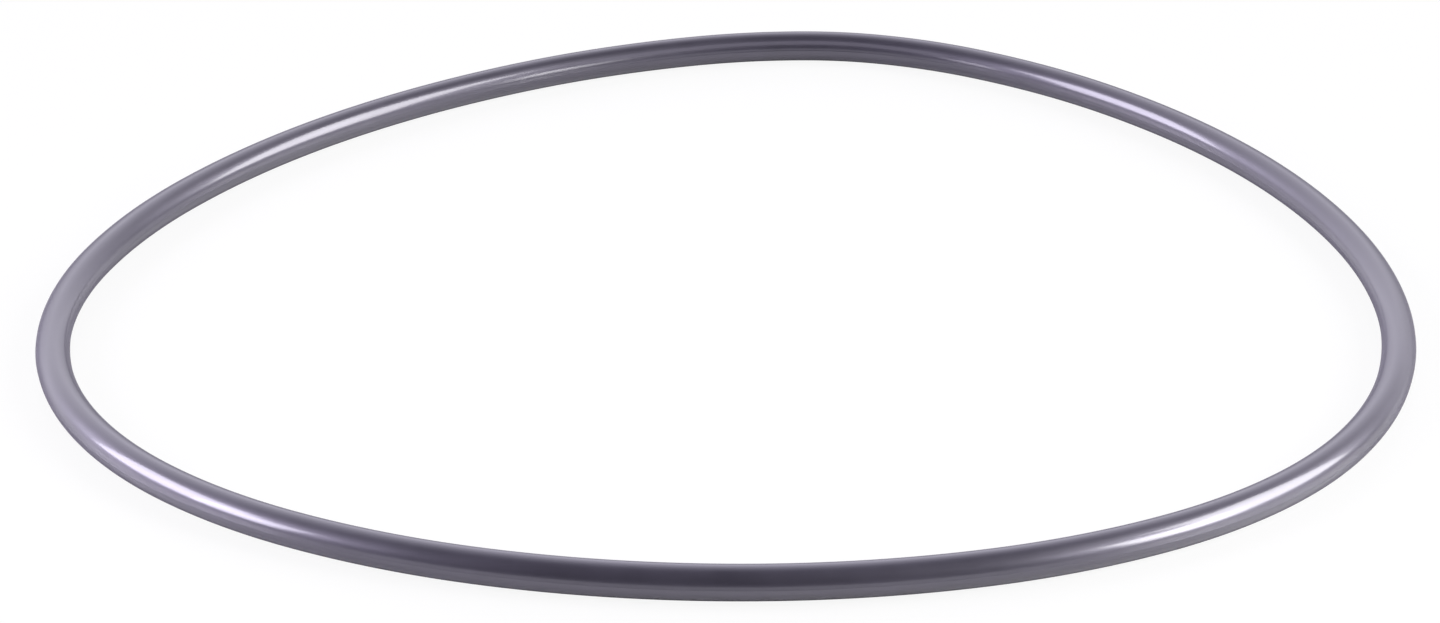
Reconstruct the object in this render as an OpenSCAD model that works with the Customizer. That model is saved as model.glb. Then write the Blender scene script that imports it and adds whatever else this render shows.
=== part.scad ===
// Rubber o-ring with a round section, lying flat and relaxed on a table.

/* [Ring] */
// Inside diameter that the ring has when it is drawn out to a true circle
inside_d = 136.12; // [100:0.01:300]
// Diameter of the round section
section_d = 3.53; // [1.5:0.01:7]

/* [Lie] */
// Oval swing of the bend radius, as a share of its mean
oval_swing = 0.06; // [0:0.01:0.15]
// Direction of an oval end
oval_angle = 40; // [0:0.5:180]
// Three-lobed swing of the bend radius, as a share of its mean
three_lobe_swing = 0.34; // [0:0.01:0.4]
// Direction of one of the three lobes
three_lobe_angle = 81.5; // [0:0.5:120]
// Four-lobed swing of the bend radius, as a share of its mean
four_lobe_swing = 0.09; // [0:0.01:0.15]
// Direction of one of the four lobes
four_lobe_angle = 77; // [0:0.5:90]
// Five-lobed swing of the bend radius, as a share of its mean
five_lobe_swing = 0.09; // [0:0.01:0.15]
// Direction of one of the five lobes
five_lobe_angle = 15; // [0:0.5:72]

/* [Hidden] */
$fn = 96;

// The loop is a chain of arcs that each turn by the same angle, so it closes, and its length stays
// that of the true circle, whatever the swings are.
arc_count = 24;
arc_turn = 360 / arc_count;
quarter = arc_count / 4;
mean_r = (inside_d + section_d) / 2;
swings = [
  [2, oval_swing, oval_angle],
  [3, three_lobe_swing, three_lobe_angle],
  [4, four_lobe_swing, four_lobe_angle],
  [5, five_lobe_swing, five_lobe_angle],
];

// Steps in which a place is rounded before its small rest is added
place_step = 0.01;

function sum(list) = list * [for (x = list) 1];

function outward(angle) = [cos(angle), sin(angle), 0];

// Bends are tightest at the lobes and slackest between them.
function bend_radius(i) =
  mean_r * (1 - sum([for (s = swings) s[1] * cos(s[0] * ((i + 0.5) * arc_turn - s[2]))]));

// Neighbouring arcs share the radius at their joint, so each centre lies on that line from the one before.
function bend_centre(i) = i == 0 ? [0, 0, 0] :
  bend_centre(i - 1) + (bend_radius(i - 1) - bend_radius(i)) * outward(i * arc_turn);

// Start of an arc on the loop's centre line
function arc_start(i) = bend_centre(i) + bend_radius(i) * outward(i * arc_turn);

// Middle of the loop's box, whose sides touch the loop at every quarter turn
loop_middle = [
  (arc_start(0).x + arc_start(2 * quarter).x) / 2,
  (arc_start(quarter).y + arc_start(3 * quarter).y) / 2,
  0,
];

function rounded(place) = [for (x = place) round(x / place_step) * place_step];

// Moves by a round amount and then by its small rest, so that arcs meet to the last digit.
module place_at(place) {
  translate(rounded(place))
    translate(place - rounded(place))
      children();
}

module ring_arc(i) {
  place_at(bend_centre(i) - loop_middle + [0, 0, section_d / 2])
    rotate_extrude(angle = arc_turn, start = i * arc_turn)
      place_at([bend_radius(i), 0, 0])
        circle(d = section_d);
}

module o_ring() {
  color("#4f4b5a")
    for (i = [0 : arc_count - 1])
      ring_arc(i);
}

o_ring();
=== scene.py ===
"""Rubber o-ring lying relaxed on a white table, in metres, +Z up."""
import math
from collections import namedtuple

import bmesh
import bpy
from mathutils import Matrix, Vector


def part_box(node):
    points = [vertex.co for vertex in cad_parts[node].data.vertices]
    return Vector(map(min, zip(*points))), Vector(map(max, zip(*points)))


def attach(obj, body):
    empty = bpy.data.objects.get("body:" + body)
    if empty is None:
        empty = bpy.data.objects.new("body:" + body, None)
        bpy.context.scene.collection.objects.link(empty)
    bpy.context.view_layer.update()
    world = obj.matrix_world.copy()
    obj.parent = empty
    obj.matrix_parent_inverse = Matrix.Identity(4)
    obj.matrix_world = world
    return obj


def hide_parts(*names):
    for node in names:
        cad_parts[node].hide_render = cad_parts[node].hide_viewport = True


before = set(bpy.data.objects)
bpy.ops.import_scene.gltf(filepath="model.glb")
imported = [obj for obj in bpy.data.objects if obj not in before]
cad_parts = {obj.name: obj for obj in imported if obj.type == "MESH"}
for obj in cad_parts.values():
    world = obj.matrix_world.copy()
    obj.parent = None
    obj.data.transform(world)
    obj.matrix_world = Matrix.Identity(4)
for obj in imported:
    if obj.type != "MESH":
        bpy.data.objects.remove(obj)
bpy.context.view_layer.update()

MM = 0.001

# Relaxed lie of the ring: lobes, swing of the bend radius as a share of its mean, direction of a lobe.
# The loop is a chain of arcs that each turn by the same angle.
LIE = [
    (2, 0.06, math.radians(40)),
    (3, 0.34, math.radians(81.5)),
    (4, 0.09, math.radians(77)),
    (5, 0.09, math.radians(15)),
]
ARC_COUNT = 24
ARC_TURN = math.tau / ARC_COUNT
ARC_STEPS = 16

# Section and the fine ridge that the mould leaves round its middle height
RING_LOW, RING_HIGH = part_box("o_ring")
SECTION_R = (RING_HIGH.z - RING_LOW.z) / 2
SECTION_SIDES = 64
RIDGE_HALF_WIDTH = 0.06 * MM
RIDGE_HEIGHT = 0.025 * MM
MERGE_DISTANCE = 0.002 * MM

# Rubber: a matt body under a thin polished skin. Bloom, the film that rubber sweats out, pales and dulls
# both in soft patches, and hazes the gloss where the surface is seen at a low angle. Pairs run from bare
# rubber to full bloom, and haze from where it starts to where it is full, with 0 face on and 1 edge on.
RUBBER_DARK = (0.037, 0.034, 0.049, 1)
RUBBER_BLOOMED = (0.050, 0.046, 0.065, 1)
RUBBER_TINT = (0.88, 0.84, 1.0, 1)
RUBBER_IOR = 2.0
BLOOM_SCALE = 140.0
BLOOM_DETAIL = 5.0
BLOOM_FALL_OFF = 0.6
BLOOM_EDGES = (0.35, 0.70)
BODY_ROUGHNESS = (0.37, 0.47)
SKIN_SHARE = (1.0, 0.85)
SKIN_ROUGHNESS = 0.13
HAZE_EDGES = (0.60, 0.76)
HAZE_DULLS_SKIN = 0.85
HAZE_ROUGHENS = 0.30
GRAIN_SCALE = 7000.0
GRAIN_DETAIL = 3.0
GRAIN_DEPTH = 0.02 * MM
GRAIN_STRENGTH = 0.05

# Camera, with its sensor and lens in millimetres
SENSOR_W = 36.0
LENS = 113.70
CAMERA_ELEVATION = math.radians(24.3)
CAMERA_DISTANCE = 480 * MM
CAMERA_AIM = Vector((-0.73 * MM, -8.41 * MM, SECTION_R))

# Lamps, in metres and degrees, placed round the ring's middle. Compass runs from straight ahead towards
# the right. A bare lamp shines all ways in front of it, and a grid keeps its light near the aim.
Lamp = namedtuple("Lamp", "compass elevation distance width height radiance colour spread aim")
RIGHT_WHITE = (1.0, 0.99, 1.0)
LEFT_WHITE = (0.91, 0.87, 1.0)
BARE = 180
GRID = 50
CENTRE = Vector((0, 0, SECTION_R))
RIGHT_BEND = Vector((42 * MM, -57 * MM, SECTION_R))
LEFT_BEND = Vector((-45 * MM, -55 * MM, SECTION_R))
FAR_SIDE = Vector((0, 200 * MM, 40 * MM))
LAMPS = {
    "right_soft_box": Lamp(87, 32, 1.2, 0.66, 0.78, 8.1, RIGHT_WHITE, BARE, CENTRE),
    "left_soft_box": Lamp(274, 26, 1.2, 0.66, 0.62, 8.9, LEFT_WHITE, BARE, CENTRE),
    "right_strip": Lamp(123, 18, 0.235, 0.085, 0.085, 18.5, RIGHT_WHITE, GRID, RIGHT_BEND),
    "left_strip": Lamp(242, 17, 0.235, 0.070, 0.080, 14.5, LEFT_WHITE, GRID, LEFT_BEND),
    "inner_fill": Lamp(180, 75, 0.115, 0.20, 0.09, 0.95, LEFT_WHITE, BARE, FAR_SIDE),
}

# Pale wall ahead and dim room behind the camera. The wall fades by direction: 1 points at its middle, and
# 0 lies square to that.
WALL_COMPASS = math.radians(-14)
WALL_WHITE = (0.92, 0.90, 1.0, 1)
WALL_RADIANCE = 1.52
ROOM_RADIANCE = 0.02
WALL_FADE = (0.05, 1.0)
WHITE = (1, 1, 1, 1)

# White table, and the share of plain white in it: as the camera sees it, and as gloss and glass mirror it
TABLE_R = 4.0
TABLE_SIDES = 96
TABLE_WHITE = (0.85, 0.85, 0.85, 1)
TABLE_ROUGHNESS = 0.3
TABLE_GLOW_SEEN = 0.9
TABLE_GLOW_MIRRORED = 0.15


def unit(angle):
    """Level direction at an angle from +X."""
    return Vector((math.cos(angle), math.sin(angle), 0))


def bend_share(i):
    """Bend radius of an arc as a share of the mean."""
    middle = (i + 0.5) * ARC_TURN
    return 1 - sum(swing * math.cos(lobes * (middle - at)) for lobes, swing, at in LIE)


def loop_centres():
    """Bend centres of all arcs for a mean radius of 1: neighbours share the radius at their joint."""
    centres = [Vector((0, 0, 0))]
    for i in range(1, ARC_COUNT):
        step = bend_share(i - 1) - bend_share(i)
        centres.append(centres[-1] + step * unit(i * ARC_TURN))
    return centres


def loop_arcs():
    """Bend centre and bend radius of each arc, in the frame, filling the solid's box."""
    centres = loop_centres()
    quarter = ARC_COUNT // 4
    east, north, west, south = (
        centres[i] + bend_share(i) * unit(i * ARC_TURN) for i in range(0, ARC_COUNT, quarter)
    )
    mean_r = (RING_HIGH.x - RING_LOW.x - 2 * SECTION_R) / (east.x - west.x)
    middle = Vector(((east.x + west.x) / 2, (north.y + south.y) / 2, 0))
    lift = Vector((0, 0, RING_LOW.z + SECTION_R))
    return [(mean_r * (c - middle) + lift, mean_r * bend_share(i)) for i, c in enumerate(centres)]


def add_section(bm, centre):
    """Round section upright on the XZ plane, with the mould's ridge at its inner and outer side."""
    upright = Matrix.Translation(centre) @ Matrix.Rotation(math.pi / 2, 4, "X")
    bmesh.ops.create_circle(bm, segments=SECTION_SIDES, radius=SECTION_R, matrix=upright)
    by_x = sorted(bm.verts, key=lambda v: v.co.x)
    inner, outer = by_x[0], by_x[-1]
    for side, outward in ((inner, -1), (outer, 1)):
        place = side.co.copy()
        bmesh.ops.bevel(
            bm, geom=[side], affect="VERTICES", offset=RIDGE_HALF_WIDTH, offset_type="OFFSET",
            segments=2, profile=0.5, material=-1)
        crest = min(bm.verts, key=lambda v: (v.co - place).length)
        crest.co = place + Vector((outward * RIDGE_HEIGHT, 0, 0))
    return list(bm.edges)


def new_piece(name, bm):
    """Smoothly shaded object at the origin."""
    mesh = bpy.data.meshes.new(name)
    bm.to_mesh(mesh)
    bm.free()
    mesh.shade_smooth()
    piece = bpy.data.objects.new(name, mesh)
    bpy.context.scene.collection.objects.link(piece)
    return piece


def make_ring():
    """Sweeps the section round the loop, arc by arc."""
    bm = bmesh.new()
    arcs = loop_arcs()
    first_centre, first_r = arcs[0]
    edges = add_section(bm, first_centre + Vector((first_r, 0, 0)))
    for centre, _ in arcs:
        swept = bmesh.ops.spin(
            bm, geom=edges, cent=centre, axis=(0, 0, 1), angle=ARC_TURN, steps=ARC_STEPS)
        edges = [e for e in swept["geom_last"] if isinstance(e, bmesh.types.BMEdge)]
    bmesh.ops.remove_doubles(bm, verts=bm.verts, dist=MERGE_DISTANCE)
    bmesh.ops.recalc_face_normals(bm, faces=bm.faces)
    return new_piece("rubber_ring", bm)


def make_table():
    """Level round top that the ring lies on."""
    bm = bmesh.new()
    bmesh.ops.create_circle(bm, cap_ends=True, segments=TABLE_SIDES, radius=TABLE_R)
    return new_piece("table_top", bm)


def add_node(tree, kind, **inputs):
    """New node with its inputs set: a socket is linked, and anything else is a value."""
    made = tree.nodes.new(kind)
    for name, value in inputs.items():
        socket = made.inputs[name.replace("_", " ")]
        if isinstance(value, bpy.types.NodeSocket):
            tree.links.new(value, socket)
        else:
            socket.default_value = value
    return made


def add_maths(tree, operation, first, second):
    """Result of one sum on a socket and a second socket or number."""
    made = tree.nodes.new("ShaderNodeMath")
    made.operation = operation
    tree.links.new(first, made.inputs[0])
    if isinstance(second, bpy.types.NodeSocket):
        tree.links.new(second, made.inputs[1])
    else:
        made.inputs[1].default_value = second
    return made.outputs[0]


def add_range(tree, value, given, wanted, smooth=False):
    """Value carried from a given range to a wanted one, and held at its ends."""
    made = add_node(
        tree, "ShaderNodeMapRange", Value=value, From_Min=given[0], From_Max=given[1],
        To_Min=wanted[0], To_Max=wanted[1])
    made.interpolation_type = "SMOOTHSTEP" if smooth else "LINEAR"
    return made.outputs["Result"]


def new_material(name):
    """Material with an empty node tree, and the tree."""
    material = bpy.data.materials.new(name)
    material.use_nodes = True
    material.node_tree.nodes.clear()
    return material, material.node_tree


def rubber():
    """Satin black moulded rubber with a faint violet-grey bloom and a fine grain."""
    material, tree = new_material("moulded_rubber")
    place = add_node(tree, "ShaderNodeTexCoord").outputs["Object"]
    patches = add_node(
        tree, "ShaderNodeTexNoise", Vector=place, Scale=BLOOM_SCALE, Detail=BLOOM_DETAIL,
        Roughness=BLOOM_FALL_OFF)
    bloom = patches.outputs["Fac"]
    tone = add_node(tree, "ShaderNodeValToRGB", Fac=bloom)
    for stop, edge, colour in zip(tone.color_ramp.elements, BLOOM_EDGES, (RUBBER_DARK, RUBBER_BLOOMED)):
        stop.position = edge
        stop.color = colour
    grain = add_node(tree, "ShaderNodeTexNoise", Vector=place, Scale=GRAIN_SCALE, Detail=GRAIN_DETAIL)
    relief = add_node(
        tree, "ShaderNodeBump", Height=grain.outputs["Fac"], Strength=GRAIN_STRENGTH, Distance=GRAIN_DEPTH)
    facing = add_node(tree, "ShaderNodeLayerWeight", Blend=0.5).outputs["Facing"]
    haze = add_range(tree, facing, HAZE_EDGES, (0, 1))
    roughness = add_range(tree, bloom, (0, 1), BODY_ROUGHNESS)
    roughness = add_maths(tree, "ADD", roughness, add_maths(tree, "MULTIPLY", haze, HAZE_ROUGHENS))
    polish = add_range(tree, bloom, (0, 1), SKIN_SHARE)
    polish = add_maths(tree, "MULTIPLY", polish, add_range(tree, haze, (0, 1), (1, 1 - HAZE_DULLS_SKIN)))
    skin = add_node(
        tree, "ShaderNodeBsdfPrincipled", Base_Color=tone.outputs["Color"], Roughness=roughness,
        Coat_Weight=polish, Normal=relief.outputs["Normal"])
    skin.inputs["IOR"].default_value = RUBBER_IOR
    skin.inputs["Specular Tint"].default_value = RUBBER_TINT
    skin.inputs["Coat Roughness"].default_value = SKIN_ROUGHNESS
    add_node(tree, "ShaderNodeOutputMaterial", Surface=skin.outputs["BSDF"])
    return material


def white_table():
    """Satin white table that looks plain white, still darkened by the ring's shadow."""
    material, tree = new_material("white_table")
    rays = add_node(tree, "ShaderNodeLightPath").outputs
    mirrored = add_maths(tree, "MAXIMUM", rays["Is Glossy Ray"], rays["Is Transmission Ray"])
    mirrored = add_maths(tree, "MULTIPLY", mirrored, TABLE_GLOW_MIRRORED)
    seen = add_maths(tree, "MULTIPLY", rays["Is Camera Ray"], TABLE_GLOW_SEEN)
    share = add_maths(tree, "MAXIMUM", seen, mirrored)
    satin = add_node(tree, "ShaderNodeBsdfPrincipled", Base_Color=TABLE_WHITE, Roughness=TABLE_ROUGHNESS)
    glow = add_node(tree, "ShaderNodeEmission", Color=WHITE, Strength=1.0)
    mixed = add_node(tree, "ShaderNodeMixShader", Fac=share)
    tree.links.new(satin.outputs[0], mixed.inputs[1])
    tree.links.new(glow.outputs[0], mixed.inputs[2])
    add_node(tree, "ShaderNodeOutputMaterial", Surface=mixed.outputs[0])
    return material


def light_studio():
    """Room that is white to the eye. What the ring mirrors is a pale wall ahead and a dim room behind."""
    world = bpy.data.worlds.new("studio")
    bpy.context.scene.world = world
    world.use_nodes = True
    tree = world.node_tree
    tree.nodes.clear()
    rays = add_node(tree, "ShaderNodeLightPath").outputs
    way = add_node(tree, "ShaderNodeTexCoord").outputs["Generated"]
    ahead = tree.nodes.new("ShaderNodeVectorMath")
    ahead.operation = "DOT_PRODUCT"
    tree.links.new(way, ahead.inputs[0])
    ahead.inputs[1].default_value = (math.sin(WALL_COMPASS), math.cos(WALL_COMPASS), 0)
    wall = add_range(
        tree, ahead.outputs["Value"], WALL_FADE, (ROOM_RADIANCE, WALL_RADIANCE), smooth=True)
    room = add_node(tree, "ShaderNodeBackground", Color=WALL_WHITE, Strength=wall)
    white = add_node(tree, "ShaderNodeBackground", Color=WHITE, Strength=1.0)
    mixed = add_node(tree, "ShaderNodeMixShader", Fac=rays["Is Camera Ray"])
    tree.links.new(room.outputs[0], mixed.inputs[1])
    tree.links.new(white.outputs[0], mixed.inputs[2])
    add_node(tree, "ShaderNodeOutputWorld", Surface=mixed.outputs[0])


def looking(from_point, at_point):
    """Place and turn of a lamp or camera that looks at a point, with +Z up in its picture."""
    turn = (at_point - from_point).to_track_quat("-Z", "Y")
    return Matrix.Translation(from_point) @ turn.to_matrix().to_4x4()


def grid_gain(spread):
    """How much brighter a lamp looks on its axis when a grid gathers the same light."""
    if spread == BARE:
        return 1
    half = math.radians(spread) / 2
    return math.tan(half) / (math.tan(half) - half)


def add_lamp(name, setting):
    """Soft lamp that the camera doesn't see, with the power that gives its face the radiance asked for."""
    light = bpy.data.lights.new(name, "AREA")
    light.shape = "RECTANGLE"
    light.size = setting.width
    light.size_y = setting.height
    light.color = setting.colour
    light.spread = math.radians(setting.spread)
    light.energy = setting.radiance * math.pi * setting.width * setting.height / grid_gain(setting.spread)
    held = bpy.data.objects.new(name, light)
    bpy.context.scene.collection.objects.link(held)
    compass = math.radians(setting.compass)
    elevation = math.radians(setting.elevation)
    level = Vector((math.sin(compass), math.cos(compass), 0)) * math.cos(elevation)
    place = (level + Vector((0, 0, math.sin(elevation)))) * setting.distance
    held.matrix_world = looking(place, setting.aim)
    held.visible_camera = False


def add_camera():
    """Camera at the picture's viewing angle."""
    lens = bpy.data.cameras.new("camera")
    lens.sensor_fit = "HORIZONTAL"
    lens.sensor_width = SENSOR_W
    lens.lens = LENS
    camera = bpy.data.objects.new("camera", lens)
    bpy.context.scene.collection.objects.link(camera)
    back = Vector((0, -math.cos(CAMERA_ELEVATION), math.sin(CAMERA_ELEVATION)))
    camera.matrix_world = looking(CAMERA_AIM + CAMERA_DISTANCE * back, CAMERA_AIM)
    bpy.context.scene.camera = camera


add_camera()
for name, setting in LAMPS.items():
    add_lamp(name, setting)
light_studio()
bpy.context.scene.view_settings.view_transform = "Standard"

ring = make_ring()
ring.data.materials.append(rubber())
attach(ring, "root")
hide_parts("o_ring")

table = make_table()
table.data.materials.append(white_table())
